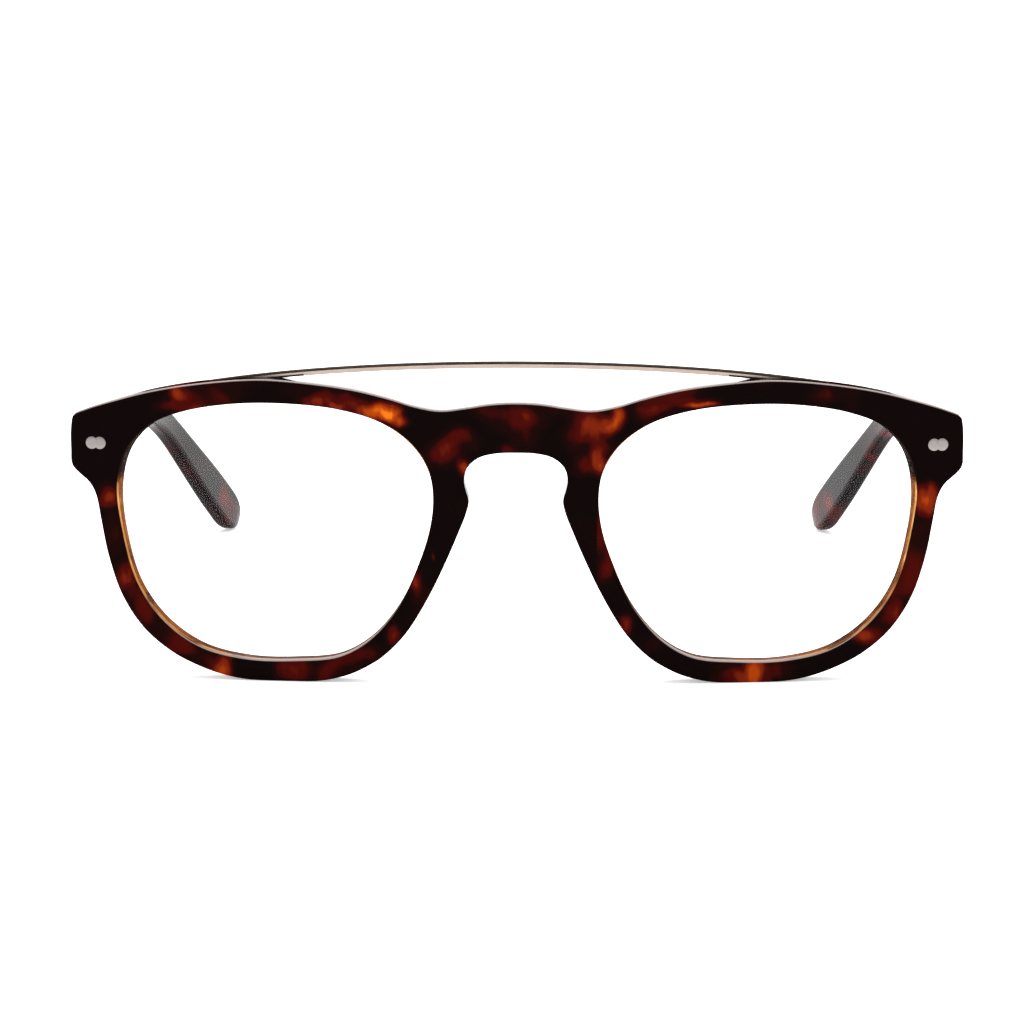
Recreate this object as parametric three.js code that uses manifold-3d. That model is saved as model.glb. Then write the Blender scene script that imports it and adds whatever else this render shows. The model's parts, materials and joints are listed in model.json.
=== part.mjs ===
// Full-rim acetate eyeglasses with a keyhole bridge and a thin metal brow bar.
// Millimetres. +Z is up, the front faces -Y and the wearer's left is +X.
import * as THREE from 'three';
import { TessellateModifier } from 'three/addons/modifiers/TessellateModifier.js';
import { mergeVertices } from 'three/addons/utils/BufferGeometryUtils.js';
import Module from 'manifold-3d';

const wasm = await Module();
wasm.setup();

// ---- Driving dimensions ----------------------------------------------------
const GAP = 0.3;                 // between pieces that lie against each other
const WRAP_RADIUS = 380;         // the flat front is bent to this radius in plan
const FRONT_THICKNESS = 4.2;
const FRONT_EDGE = 0.4;          // polished edge radius of the front
const OUTLINE_STEP = 3.2;        // spacing of the points along the outlines
const LONGEST_EDGE = 16;         // before the front is bent
const LENS_LONGEST_EDGE = 9;     // before a lens is domed

const LENS_CENTRE = new THREE.Vector2(38.6, 24.3);
const LENS_RADIUS = 150;         // spherical curve of the lenses
const LENS_SAG = 1.4;            // how far a lens centre stands ahead of its edge
const LENS_THICKNESS = 2;
const LENS_BEVEL = 0.9;          // V edge of the lens, beyond its faces
const GROOVE_DEPTH = 2;          // the groove's middle, behind the front face

const BAR_TOP = 51.35;           // height of the brow bar at the middle
const BAR_ARC_RADIUS = 426;      // its arch at the middle, seen from the front
const BAR_ARC_TIGHTENING = 1.03e-7;      // fourth-power drop, per cubic mm
const BAR_HALF_SPAN = 51.5;
const BAR_HEIGHT = 0.9;
const BAR_FRONT = 2.3;           // behind the front face
const BAR_DEPTH = 1.1;

const SHIELD_POS = new THREE.Vector2(67.35, 37.85);
const SHIELD_DOT_RADIUS = 1;
const SHIELD_DOT_PITCH = 1.3;
const SHIELD_THICKNESS = 0.5;
const POST_RADIUS = 0.5;

const PAD_DEPTH = 4.6;           // how far a nose pad stands out behind the front
const PAD_FLARE = 0.06;          // sideways lean of a pad for each mm of depth
const PAD_TOP = new THREE.Vector2(10.6, 34.1);      // ends of the pad's middle line
const PAD_BOTTOM = new THREE.Vector2(14.8, 14.2);
const PAD_NARROWING = 0.78;      // how far the pad's rear end draws in, squared
const PAD_SHORTENING = 0.65;     // share of that narrowing along its length
const PAD_STEPS = 5;

const TILT = THREE.MathUtils.degToRad(5);       // the temples slope down to the rear
const HINGE_ALONG = 66.3;        // along the front, from the middle
const HINGE_HEIGHT = 37.5;
const HINGE_STANDOFF = 2.2;      // the hinge axis behind the front's back face
const HINGE_PLATE = { from: 65, to: 68.7, halfHeight: 3.7, thickness: 1 };
const KNUCKLES = 5;
const KNUCKLE_RADIUS = 1.4;
const KNUCKLE_HEIGHT = 1.4;
const KNUCKLE_PITCH = 1.5;
const SCREW_RADIUS = 0.6;
const SCREW_FIT = 0.07;          // radial running clearance
const SCREW_HEAD_RADIUS = 1.3;
const SCREW_HEAD_HEIGHT = 0.8;
const SCREW_LIFT = 0.15;         // head above the top knuckle
const SCREW_TAIL = 0.2;          // end below the bottom knuckle
const SCREW_SLOT = { halfWidth: 0.17, depth: 0.35 };
const WEB = { from: -0.9, to: 0.8 };      // front knuckles' webs, across the hinge axis

const TEMPLE_LENGTH = 143.9;     // along the middle of the side
const TEMPLE_THICKNESS = 3.4;
const TEMPLE_EDGE = 0.8;         // edge radius
const TEMPLE_HALF_HEIGHT = { butt: 4.2, neck: 2.4, tip: 3.6 };
const NECK_AT = 98;
const TEMPLE_OFFSET = 1.8;       // the temple's inner face, outside the hinge axis
const BUTT_GAP = 0.35;
const SPLAY = THREE.MathUtils.degToRad(-1.5);   // outward lean of the shaft
const TUCK = THREE.MathUtils.degToRad(20.4);    // inward bend of the ear-piece
const DROOP = THREE.MathUtils.degToRad(33);     // downward bend of the ear-piece
const TUCK_FROM = 74;
const DROOP_FROM = 82;
const BEND_TO = 115;
const PADDLE_FROM = 104;
const PADDLE_TO = 134;
const TIP_ROUND = 7;             // length of the rounded tip

const LEAF_LENGTH = 12;          // temple half of the hinge, along the temple
const LEAF_THICKNESS = 0.8;
const LEAF_HALF_HEIGHT = 3;
const LEAF_START = 0.9;          // ahead of the hinge axis
const WIRE_THICKNESS = 0.7;
const WIRE_HALF_HEIGHT = 0.9;
const WIRE_OFFSET = 0.55;        // outside the temple's middle plane
const WIRE_START = 1.5;
const WIRE_END = 130;
const WIRE_TAPER = 0.35;         // loss of half height at its end
const BEND_STEP = 0.25;          // of the temple's middle line
const RIVET_RADIUS = 0.5;
const RIVET_HEAD_RADIUS = 0.9;
const RIVET_HEAD_HEIGHT = 0.35;
const RIVET_PLACES = { front: [5.2, 2.05], rear: [9.6, -2.05] };
const TEMPLE_POINTS = 34;
const TIP_POINTS = 4;
const WIRE_POINTS = 14;
const ROUND_SIDES = 16;

// Half outlines as [distance along the front, height], top middle to bridge middle.
const OUTER_HALF = [
  [0, 45.25], [4.01, 45.05], [8.01, 44.43], [12, 44], [15.99, 44.66], [19.98, 45.85],
  [25.98, 47.24], [33.99, 48.26], [41, 48.63], [50.01, 47.85], [58.01, 46.48], [65.01, 44.59],
  [69, 43.3], [71.04, 42.33], [71.5, 40.51], [71.58, 36.59], [71.44, 34.23], [70.25, 32.86],
  [68.64, 31.49], [67.57, 29.5], [66.78, 25.42], [65.69, 19.85], [63.48, 13.31], [59.98, 8.04],
  [55.42, 4.28], [51.5, 2.3], [48.5, 1.2], [45.5, 0.45], [43, 0.1], [40.5, 0], [37, 0], [33.8, 0],
  [31.5, 0.12], [29, 0.55], [26, 1.48], [23.6, 2.68], [21.27, 4.2], [17.54, 8.01], [13.86, 14],
  [10.96, 20.01], [9.18, 24.17], [7.84, 27.58], [7.44, 29.5], [7.91, 31.21], [8.17, 32.8],
  [7.71, 34.75], [5.97, 36.36], [3.37, 37.08], [0, 37.23],
];
const OPENING = [
  [13.12, 30], [13.8, 34.18], [16.32, 38.23], [21.01, 41.73], [28.02, 43.9], [38, 44.78],
  [45.99, 44.45], [52.97, 43.2], [58.27, 41.06], [62.19, 37.15], [63.92, 31.4], [63.29, 24.49],
  [60.86, 15.45], [56.54, 9.41], [50.52, 5.36], [43, 3.63], [35, 3.56], [28.17, 4.36],
  [23.24, 7.15], [18.64, 12.53], [15.47, 19.23], [13.65, 25.02],
];
const PAD = [
  [8.6, 31.3], [9.2, 33.3], [10.7, 34.1], [12.1, 33.1], [12.5, 30.2], [12.6, 26], [13.4, 21.6],
  [14.6, 17.6], [15.1, 15.3], [14.4, 14.2], [13.2, 15.8], [11.8, 19.5], [10.6, 23.4],
  [9.3, 27.6],
];

const FINISH = {
  acetate: { color: 0x2c0f06, roughness: 0.12, metalness: 0 },
  lens: { color: 0xf4f8f8, roughness: 0.02, metalness: 0, transparent: true, opacity: 0.2 },
  pad: { color: 0x34140a, roughness: 0.2, metalness: 0 },
  bar: { color: 0xb9a79b, roughness: 0.28, metalness: 1 },
  steel: { color: 0xb9b9bb, roughness: 0.35, metalness: 1 },
};

// ---- Meshes, solids and bending --------------------------------------------
function toSolid(geometry) {
  const bare = geometry.clone();
  bare.deleteAttribute('normal');
  bare.deleteAttribute('uv');
  const merged = mergeVertices(bare);
  return new wasm.Manifold(new wasm.Mesh({
    numProp: 3,
    vertProperties: new Float32Array(merged.attributes.position.array),
    triVerts: new Uint32Array(merged.index.array),
  }));
}

function toGeometry(solid) {
  const { vertProperties, triVerts } = solid.getMesh();
  const geometry = new THREE.BufferGeometry();
  geometry.setAttribute('position', new THREE.BufferAttribute(vertProperties, 3));
  geometry.setIndex(new THREE.BufferAttribute(triVerts, 1));
  return geometry;
}

function cut(geometry, cutters) {
  return toGeometry(cutters.reduce((solid, cutter) => solid.subtract(toSolid(cutter)), toSolid(geometry)));
}

function join(geometries) {
  return toGeometry(geometries.map(toSolid).reduce((whole, solid) => whole.add(solid)));
}

function mapPoints(geometry, place) {
  const position = geometry.attributes.position;
  const point = new THREE.Vector3();
  for (let i = 0; i < position.count; i++) {
    place(point.fromBufferAttribute(position, i));
    position.setXYZ(i, point.x, point.y, point.z);
  }
  return geometry;
}

// Splits long triangles, so that a bend has somewhere to bend.
function split(geometry, longest) {
  const bare = geometry.clone();
  bare.deleteAttribute('normal');
  bare.deleteAttribute('uv');
  return mergeVertices(new TessellateModifier(longest, 12).modify(bare));
}

function mirrored(geometry) {
  const copy = mergeVertices(geometry);
  copy.deleteAttribute('normal');
  copy.scale(-1, 1, 1);
  const index = copy.index;
  for (let i = 0; i < index.count; i += 3) {
    const first = index.getX(i);
    index.setX(i, index.getX(i + 1));
    index.setX(i + 1, first);
  }
  return copy;
}

function forSide(geometry, side) {
  return side > 0 ? geometry : mirrored(geometry);
}

// Takes (along the front, depth behind its face, height) to the wrapped front.
function wrap(point) {
  const angle = point.x / WRAP_RADIUS;
  const radius = WRAP_RADIUS - point.y;
  point.set(radius * Math.sin(angle), WRAP_RADIUS - radius * Math.cos(angle), point.z);
}

function wrapped(geometry, longest = LONGEST_EDGE) {
  return mapPoints(split(geometry, longest), wrap);
}

// A closed smooth outline through the given points, never below the base line.
function outline(points, step = OUTLINE_STEP) {
  const curve = new THREE.CatmullRomCurve3(
    points.map(([x, y]) => new THREE.Vector3(x, y, 0)), true, 'centripetal');
  const count = Math.round(curve.getLength() / step);
  const spaced = curve.getSpacedPoints(count).slice(0, count);
  return spaced.map((p) => new THREE.Vector2(p.x, Math.max(0, p.y)));
}

// An upright plate from an outline, between two depths behind the front's face.
function plate(shape, front, back, options = {}) {
  const bevel = options.bevelThickness ?? 0;
  const geometry = new THREE.ExtrudeGeometry(shape, {
    depth: back - front - 2 * bevel, bevelEnabled: bevel > 0, curveSegments: ROUND_SIDES, ...options,
  });
  return geometry.rotateX(Math.PI / 2).translate(0, back - bevel, 0);
}

function box(x0, x1, y0, y1, z0, z1) {
  return new THREE.BoxGeometry(x1 - x0, y1 - y0, z1 - z0)
    .translate((x0 + x1) / 2, (y0 + y1) / 2, (z0 + z1) / 2);
}

// A pin along Y from one depth to another, at a point of the front.
function pinAlongY(x, z, radius, y0, y1) {
  return new THREE.CylinderGeometry(radius, radius, y1 - y0, ROUND_SIDES).translate(x, (y0 + y1) / 2, z);
}

// A turned part from [radius, height] points that start and end on the axis.
function turned(profile) {
  return new THREE.LatheGeometry(profile.map(([r, h]) => new THREE.Vector2(r, h)), ROUND_SIDES);
}

// ---- Lenses ------------------------------------------------------------------
function dome(point) {
  const dx = point.x - LENS_CENTRE.x;
  const dz = point.z - LENS_CENTRE.y;
  const sphere = (dx * dx + dz * dz) / (2 * LENS_RADIUS);
  point.y -= LENS_SAG - sphere + (dx * dx) / (2 * WRAP_RADIUS);
}

// A lens blank on the flat front: its faces clear the opening, its V edge enters the groove.
function lensBlank(clearance) {
  const half = LENS_THICKNESS / 2 + clearance;
  const tip = 0.1;
  const blank = plate(new THREE.Shape(outline(OPENING)), GROOVE_DEPTH - half, GROOVE_DEPTH + half, {
    bevelThickness: half - tip, bevelSize: LENS_BEVEL + clearance, bevelOffset: -GAP, bevelSegments: 1,
  });
  return mapPoints(split(blank, LENS_LONGEST_EDGE), dome);
}

function lens(side) {
  return forSide(wrapped(lensBlank(0)), side);
}

// ---- Front, brow bar, nose pads, shields ----------------------------------------
function barShape(grow) {
  const arch = (s) => (s * s) / (2 * BAR_ARC_RADIUS) + BAR_ARC_TIGHTENING * s ** 4;
  const arc = (s, drop) => new THREE.Vector2(s, BAR_TOP - arch(s) - drop);
  const end = BAR_HALF_SPAN + grow;
  const steps = 24;
  const along = Array.from({ length: steps + 1 }, (_, i) => -end + (2 * end * i) / steps);
  const top = along.map((s) => arc(s, -grow));
  const bottom = along.map((s) => arc(s, BAR_HEIGHT + grow)).reverse();
  return new THREE.Shape([...top, ...bottom]);
}

function browBar() {
  const edge = 0.15;
  return wrapped(plate(barShape(0), BAR_FRONT, BAR_FRONT + BAR_DEPTH, {
    bevelThickness: edge, bevelSize: edge, bevelOffset: -edge, bevelSegments: 1,
  }));
}

function shieldDots(radius, y0, y1) {
  return [-1, 1].map((dot) =>
    pinAlongY(SHIELD_POS.x + (dot * SHIELD_DOT_PITCH) / 2, SHIELD_POS.y, radius, y0, y1));
}

// Figure-8 head flush with the front, and two posts that reach into the hinge plate.
function rivetShield(side) {
  const posts = shieldDots(POST_RADIUS, SHIELD_THICKNESS / 2, FRONT_THICKNESS - GAP);
  return forSide(wrapped(join([...shieldDots(SHIELD_DOT_RADIUS, 0, SHIELD_THICKNESS), ...posts])), side);
}

function hingePocket() {
  const { from, to, halfHeight, thickness } = HINGE_PLATE;
  return box(from - GAP, to + GAP, FRONT_THICKNESS - thickness - GAP, FRONT_THICKNESS + 1,
    HINGE_HEIGHT - halfHeight - GAP, HINGE_HEIGHT + halfHeight + GAP);
}

function frontCutters(side) {
  const pockets = [
    lensBlank(GAP),
    hingePocket(),
    ...shieldDots(SHIELD_DOT_RADIUS + GAP, -1, SHIELD_THICKNESS + GAP),
    ...shieldDots(POST_RADIUS + GAP, 0, FRONT_THICKNESS),
  ];
  return pockets.map((pocket) => forSide(pocket, side));
}

function frontFrame() {
  const half = OUTER_HALF;
  const left = half.slice(1, -1).reverse().map(([x, y]) => [-x, y]);
  const shape = new THREE.Shape(outline([...half, ...left]).reverse());
  const opening = outline(OPENING);
  shape.holes.push(new THREE.Path(opening));
  shape.holes.push(new THREE.Path(opening.map((p) => new THREE.Vector2(-p.x, p.y))));
  const blank = plate(shape, 0, FRONT_THICKNESS, {
    bevelThickness: FRONT_EDGE, bevelSize: FRONT_EDGE, bevelOffset: -FRONT_EDGE, bevelSegments: 1,
  });
  const slot = plate(barShape(GAP), BAR_FRONT - GAP, BAR_FRONT + BAR_DEPTH + GAP);
  return wrapped(cut(blank, [slot, ...frontCutters(1), ...frontCutters(-1)]));
}

// A pad lies on the back of the nasal rim, leans outward and rounds off to the rear.
function nosePad(side) {
  const front = FRONT_THICKNESS + GAP;
  const pad = plate(new THREE.Shape(outline(PAD)), front, front + PAD_DEPTH, { steps: PAD_STEPS });
  const lean = (PAD_BOTTOM.x - PAD_TOP.x) / (PAD_TOP.y - PAD_BOTTOM.y);
  const centreHeight = (PAD_TOP.y + PAD_BOTTOM.y) / 2;
  mapPoints(pad, (p) => {
    const t = (p.y - front) / PAD_DEPTH;
    const shrink = Math.sqrt(1 - PAD_NARROWING * t * t);
    const centre = PAD_TOP.x + (PAD_TOP.y - p.z) * lean;
    p.x = centre + (p.x - centre) * shrink + PAD_FLARE * (p.y - front);
    p.z = centreHeight + (p.z - centreHeight) * (1 - PAD_SHORTENING * (1 - shrink));
  });
  return forSide(wrapped(pad), side);
}

// ---- Hinges ------------------------------------------------------------------
const hingePoint = new THREE.Vector3(HINGE_ALONG, FRONT_THICKNESS + HINGE_STANDOFF, HINGE_HEIGHT);
wrap(hingePoint);
const hingeWrap = HINGE_ALONG / WRAP_RADIUS;

function knuckle(k) {
  const z = (k - (KNUCKLES - 1) / 2) * KNUCKLE_PITCH;
  return {
    barrel: new THREE.CylinderGeometry(KNUCKLE_RADIUS, KNUCKLE_RADIUS, KNUCKLE_HEIGHT, ROUND_SIDES)
      .rotateX(Math.PI / 2).translate(0, 0, z),
    low: z - KNUCKLE_HEIGHT / 2,
    high: z + KNUCKLE_HEIGHT / 2,
  };
}

function screwHole() {
  return new THREE.CylinderGeometry(SCREW_RADIUS + SCREW_FIT, SCREW_RADIUS + SCREW_FIT, 12, ROUND_SIDES)
    .rotateX(Math.PI / 2);
}

// Front half: three knuckles on webs that rise from a plate let into the front's back.
function frontHinge(side) {
  const { from, to, halfHeight, thickness } = HINGE_PLATE;
  const sunk = 0.05;
  const leaf = wrapped(box(from, to, FRONT_THICKNESS - thickness, FRONT_THICKNESS - sunk,
    HINGE_HEIGHT - halfHeight, HINGE_HEIGHT + halfHeight));
  const toWorld = new THREE.Matrix4().makeRotationX(-TILT).setPosition(hingePoint);
  const parts = [leaf];
  for (let k = 0; k < KNUCKLES; k += 2) {
    const { barrel, low, high } = knuckle(k);
    const web = box(WEB.from, WEB.to, -HINGE_STANDOFF - thickness / 2, 0, low, high).rotateZ(hingeWrap);
    parts.push(barrel.applyMatrix4(toWorld), web.applyMatrix4(toWorld));
  }
  const posts = shieldDots(POST_RADIUS + GAP, 1, FRONT_THICKNESS + 1).map((post) => wrapped(post));
  const hole = screwHole().applyMatrix4(toWorld);
  return forSide(cut(join(parts), [hole, ...posts]), side);
}

// Temple half, in the hinge's frame: two knuckles and a plate let into the temple.
function templeHinge(side) {
  const inner = TEMPLE_OFFSET;
  const leaf = box(inner, inner + LEAF_THICKNESS, -LEAF_START, LEAF_LENGTH - LEAF_START,
    -LEAF_HALF_HEIGHT, LEAF_HALF_HEIGHT).rotateZ(SPLAY);
  const parts = [leaf];
  for (let k = 1; k < KNUCKLES; k += 2) {
    const { barrel, low, high } = knuckle(k);
    parts.push(barrel, box(0, inner + LEAF_THICKNESS / 2, 0, KNUCKLE_RADIUS, low, high));
  }
  const holes = Object.values(RIVET_PLACES).map((place) => rivetPin(place, RIVET_RADIUS + GAP));
  return forSide(cut(join(parts), [screwHole(), ...holes]), side);
}

function hingeScrew(side) {
  const top = knuckle(KNUCKLES - 1).high + SCREW_LIFT;
  const bottom = knuckle(0).low - SCREW_TAIL;
  const chamfer = 0.2;
  const screw = turned([
    [0, bottom], [SCREW_RADIUS - chamfer, bottom], [SCREW_RADIUS, bottom + chamfer], [SCREW_RADIUS, top],
    [SCREW_HEAD_RADIUS, top], [SCREW_HEAD_RADIUS, top + SCREW_HEAD_HEIGHT - chamfer],
    [SCREW_HEAD_RADIUS - chamfer, top + SCREW_HEAD_HEIGHT], [0, top + SCREW_HEAD_HEIGHT],
  ]).rotateX(Math.PI / 2);
  const slot = box(-2, 2, -SCREW_SLOT.halfWidth, SCREW_SLOT.halfWidth,
    top + SCREW_HEAD_HEIGHT - SCREW_SLOT.depth, top + 2);
  return forSide(cut(screw, [slot]), side);
}

// ---- Temples -----------------------------------------------------------------
const smooth = THREE.MathUtils.smoothstep;

function evenly(from, to, count) {
  return Array.from({ length: count + 1 }, (_, i) => from + ((to - from) * i) / count);
}

// Distances along the temple: even ones, then closer ones around its rounded tip.
function templeDistances() {
  const capFrom = TEMPLE_LENGTH - TIP_ROUND;
  const cap = evenly(0, Math.PI / 2, TIP_POINTS).map((turn) => capFrom + TIP_ROUND * Math.sin(turn));
  return [...evenly(0, capFrom, TEMPLE_POINTS), ...cap.slice(1)];
}

// The middle of the temple in its side view, at each of the given distances along it.
function sideLine(distances) {
  const dropAt = (s) => DROOP * smooth(s, DROOP_FROM, BEND_TO);
  let [s, u, v] = [0, 0, 0];
  return distances.map((wanted) => {
    while (s < wanted) {
      const step = Math.min(BEND_STEP, wanted - s);
      u += step * Math.cos(dropAt(s));
      v -= step * Math.sin(dropAt(s));
      s = wanted - s > BEND_STEP ? s + BEND_STEP : wanted;
    }
    return { s, u, v, drop: dropAt(s) };
  });
}

function templeHalfHeight(s) {
  const { butt, neck, tip } = TEMPLE_HALF_HEIGHT;
  const waist = butt - (butt - neck) * smooth(s, 0, NECK_AT);
  const paddle = (tip - neck) * smooth(s, PADDLE_FROM, PADDLE_TO);
  const capAt = Math.max(0, (s - (TEMPLE_LENGTH - TIP_ROUND)) / TIP_ROUND);
  return (waist + paddle) * Math.sqrt(Math.max(0.03, 1 - capAt ** 2.2));
}

// A side outline of the given half height that follows the temple's bend.
function sideShape(distances, halfHeight) {
  const edge = (sign) => sideLine(distances).map(({ s, u, v, drop }) => {
    const reach = sign * halfHeight(s);
    return new THREE.Vector2(u + reach * Math.sin(drop), v + reach * Math.cos(drop));
  });
  return new THREE.Shape([...edge(1), ...edge(-1).reverse()]);
}

// The temple's middle line in plan, in the hinge's frame, from the butt end.
const buttSlope = Math.tan(hingeWrap);
const buttAt = (x) => (BUTT_GAP - HINGE_STANDOFF) / Math.cos(hingeWrap) + x * buttSlope;
const planStart = new THREE.Vector2(TEMPLE_OFFSET + TEMPLE_THICKNESS / 2, 0);
planStart.y = buttAt(planStart.x);

function buildPlan() {
  const line = [];
  let { x, y } = planStart;
  for (let u = 0; u < TEMPLE_LENGTH + 2; u += BEND_STEP) {
    const turn = SPLAY + TUCK * smooth(u, TUCK_FROM, BEND_TO);
    line.push({ x, y, turn });
    x -= BEND_STEP * Math.sin(turn);
    y += BEND_STEP * Math.cos(turn);
  }
  return line;
}
const plan = buildPlan();

// Takes (along, height, sideways) of the straight temple to its bent place.
function bendTemple(point) {
  const { x: along, y: height, z: sideways } = point;
  const at = THREE.MathUtils.clamp(along / BEND_STEP, 0, plan.length - 2);
  const i = Math.floor(at);
  const t = at - i;
  const mix = (key) => plan[i][key] + (plan[i + 1][key] - plan[i][key]) * t;
  const turn = mix('turn');
  const before = Math.min(0, along);
  point.x = mix('x') + sideways * Math.cos(turn) - before * Math.sin(turn);
  point.y = mix('y') + sideways * Math.sin(turn) + before * Math.cos(turn);
  point.z = height;
}

// The butt end is cut parallel to the back of the front.
function mitre(point) {
  const fade = 1 - smooth(point.y - planStart.y, 0.7, 3);
  point.y += fade * ((point.x - planStart.x) * (buttSlope - Math.tan(SPLAY)) - point.z * Math.tan(TILT));
}

function strip(shape, sideways, thickness, options = {}) {
  const bevel = options.bevelThickness ?? 0;
  return new THREE.ExtrudeGeometry(shape, {
    depth: thickness - 2 * bevel, bevelEnabled: bevel > 0, ...options,
  }).translate(0, 0, sideways - thickness / 2 + bevel);
}

function bent(geometry) {
  return mapPoints(split(geometry, LONGEST_EDGE), bendTemple);
}

function rivetPin([along, height], radius) {
  const pin = new THREE.CylinderGeometry(radius, radius, 12, ROUND_SIDES).rotateX(Math.PI / 2)
    .translate(along, height, 0);
  return mapPoints(mergeVertices(pin), bendTemple);
}

function temple(side) {
  const blank = strip(sideShape(templeDistances(), templeHalfHeight), 0, TEMPLE_THICKNESS, {
    bevelThickness: TEMPLE_EDGE, bevelSize: TEMPLE_EDGE, bevelOffset: -TEMPLE_EDGE, bevelSegments: 1,
  });
  const channelHalf = WIRE_HALF_HEIGHT + GAP;
  const channelShape = sideShape(evenly(0, WIRE_END + GAP, WIRE_POINTS), () => channelHalf);
  const channel = strip(channelShape, WIRE_OFFSET, WIRE_THICKNESS + 2 * GAP);
  const mouth = box(-3, 1, -channelHalf, channelHalf, WIRE_OFFSET - WIRE_THICKNESS / 2 - GAP,
    WIRE_OFFSET + WIRE_THICKNESS / 2 + GAP);
  const inner = -TEMPLE_THICKNESS / 2;
  const leafEnd = LEAF_LENGTH - LEAF_START - planStart.y + GAP;
  const leafBed = box(-3, leafEnd, -LEAF_HALF_HEIGHT - GAP, LEAF_HALF_HEIGHT + GAP,
    inner - 1, inner + LEAF_THICKNESS + GAP);
  const rivetHoles = Object.values(RIVET_PLACES).map(([along, height]) =>
    new THREE.CylinderGeometry(RIVET_RADIUS + GAP, RIVET_RADIUS + GAP, 12, ROUND_SIDES)
      .rotateX(Math.PI / 2).translate(along, height, 0));
  const solid = cut(blank, [join([channel, mouth]), leafBed, ...rivetHoles]);
  return forSide(mapPoints(bent(solid), mitre), side);
}

function coreWire(side) {
  const halfHeight = (s) => WIRE_HALF_HEIGHT - (WIRE_TAPER * s) / WIRE_END;
  const shape = sideShape(evenly(WIRE_START, WIRE_END, WIRE_POINTS), halfHeight);
  return forSide(bent(strip(shape, WIRE_OFFSET, WIRE_THICKNESS)), side);
}

// Domed head over the hinge plate, shank through to the temple's outer face.
function templeRivet([along, height], side) {
  const inner = -TEMPLE_THICKNESS / 2 - 0.05;
  const rivet = turned([
    [0, TEMPLE_THICKNESS / 2], [RIVET_RADIUS, TEMPLE_THICKNESS / 2], [RIVET_RADIUS, inner],
    [RIVET_HEAD_RADIUS, inner], [RIVET_HEAD_RADIUS * 0.8, inner - RIVET_HEAD_HEIGHT * 0.7],
    [RIVET_HEAD_RADIUS * 0.4, inner - RIVET_HEAD_HEIGHT], [0, inner - RIVET_HEAD_HEIGHT],
  ].reverse()).rotateX(Math.PI / 2).translate(along, height, 0);
  return forSide(mapPoints(mergeVertices(rivet), bendTemple), side);
}

// ---- Assembly ----------------------------------------------------------------
function mesh(name, geometry, finish) {
  const made = new THREE.Mesh(geometry, new THREE.MeshStandardMaterial(FINISH[finish]));
  made.name = name;
  made.geometry.computeVertexNormals();
  return made;
}

const eyeglasses = new THREE.Group();
eyeglasses.add(mesh('front_frame', frontFrame(), 'acetate'));
eyeglasses.add(mesh('brow_bar', browBar(), 'bar'));

for (const [name, side] of [['left', 1], ['right', -1]]) {
  eyeglasses.add(mesh(`lens_${name}`, lens(side), 'lens'));
  eyeglasses.add(mesh(`nose_pad_${name}`, nosePad(side), 'pad'));
  eyeglasses.add(mesh(`rivet_shield_${name}`, rivetShield(side), 'steel'));
  eyeglasses.add(mesh(`front_hinge_${name}`, frontHinge(side), 'steel'));

  const swing = new THREE.Group();
  swing.position.set(side * hingePoint.x, hingePoint.y, hingePoint.z);
  swing.rotation.x = -TILT;
  swing.add(mesh(`hinge_screw_${name}`, hingeScrew(side), 'steel'));
  swing.add(mesh(`temple_hinge_${name}`, templeHinge(side), 'steel'));
  swing.add(mesh(`temple_${name}`, temple(side), 'acetate'));
  swing.add(mesh(`core_wire_${name}`, coreWire(side), 'steel'));
  for (const [end, place] of Object.entries(RIVET_PLACES)) {
    swing.add(mesh(`temple_rivet_${name}_${end}`, templeRivet(place, side), 'steel'));
  }
  eyeglasses.add(swing);
}

// The origin is under the middle of the overall box.
const extent = new THREE.Box3().setFromObject(eyeglasses, true);
eyeglasses.position.y = -(extent.min.y + extent.max.y) / 2;

export default eyeglasses;
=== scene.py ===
"""Full-rim tortoise acetate eyeglasses with a metal brow bar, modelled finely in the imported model's frame.

Lengths are in millimetres until a mesh is made. The front is drawn flat and wrapped round an upright
axis, so that the middle of its face is at FRONT_Y. The temples are drawn straight and then bent.
Each side piece is drawn on the left, at +X, and mirrored for the right.
"""

import json
import math

import bmesh
import bpy
from mathutils import Matrix, Vector
from mathutils.geometry import delaunay_2d_cdt
from mathutils.kdtree import KDTree


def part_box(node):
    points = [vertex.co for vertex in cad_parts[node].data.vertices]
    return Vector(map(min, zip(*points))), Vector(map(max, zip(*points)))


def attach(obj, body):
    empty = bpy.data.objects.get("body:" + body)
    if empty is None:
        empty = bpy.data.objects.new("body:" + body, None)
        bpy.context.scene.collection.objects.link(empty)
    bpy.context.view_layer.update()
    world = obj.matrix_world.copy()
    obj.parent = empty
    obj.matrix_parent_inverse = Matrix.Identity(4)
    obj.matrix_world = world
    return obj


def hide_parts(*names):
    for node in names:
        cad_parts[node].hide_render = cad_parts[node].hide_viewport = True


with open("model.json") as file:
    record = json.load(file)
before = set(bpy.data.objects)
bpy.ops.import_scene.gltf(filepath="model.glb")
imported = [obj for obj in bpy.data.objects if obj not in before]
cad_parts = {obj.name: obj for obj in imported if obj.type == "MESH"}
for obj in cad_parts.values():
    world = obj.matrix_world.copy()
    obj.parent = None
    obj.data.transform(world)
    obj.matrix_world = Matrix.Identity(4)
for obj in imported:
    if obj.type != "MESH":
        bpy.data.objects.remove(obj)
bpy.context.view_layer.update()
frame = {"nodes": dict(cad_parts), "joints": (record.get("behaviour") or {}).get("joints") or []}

MM = 0.001
FRONT_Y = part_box("front_frame")[0].y / MM
JOINTS = {joint["name"]: joint for joint in frame["joints"]}
HINGE = Vector(JOINTS["temple_left_fold"]["pos_m"]) / MM
TILT = math.atan2(JOINTS["temple_left_fold"]["axis"][1], JOINTS["temple_left_fold"]["axis"][2])
SIDES = {"left": 1, "right": -1}

WELD_DISTANCE = 1e-7

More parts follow.
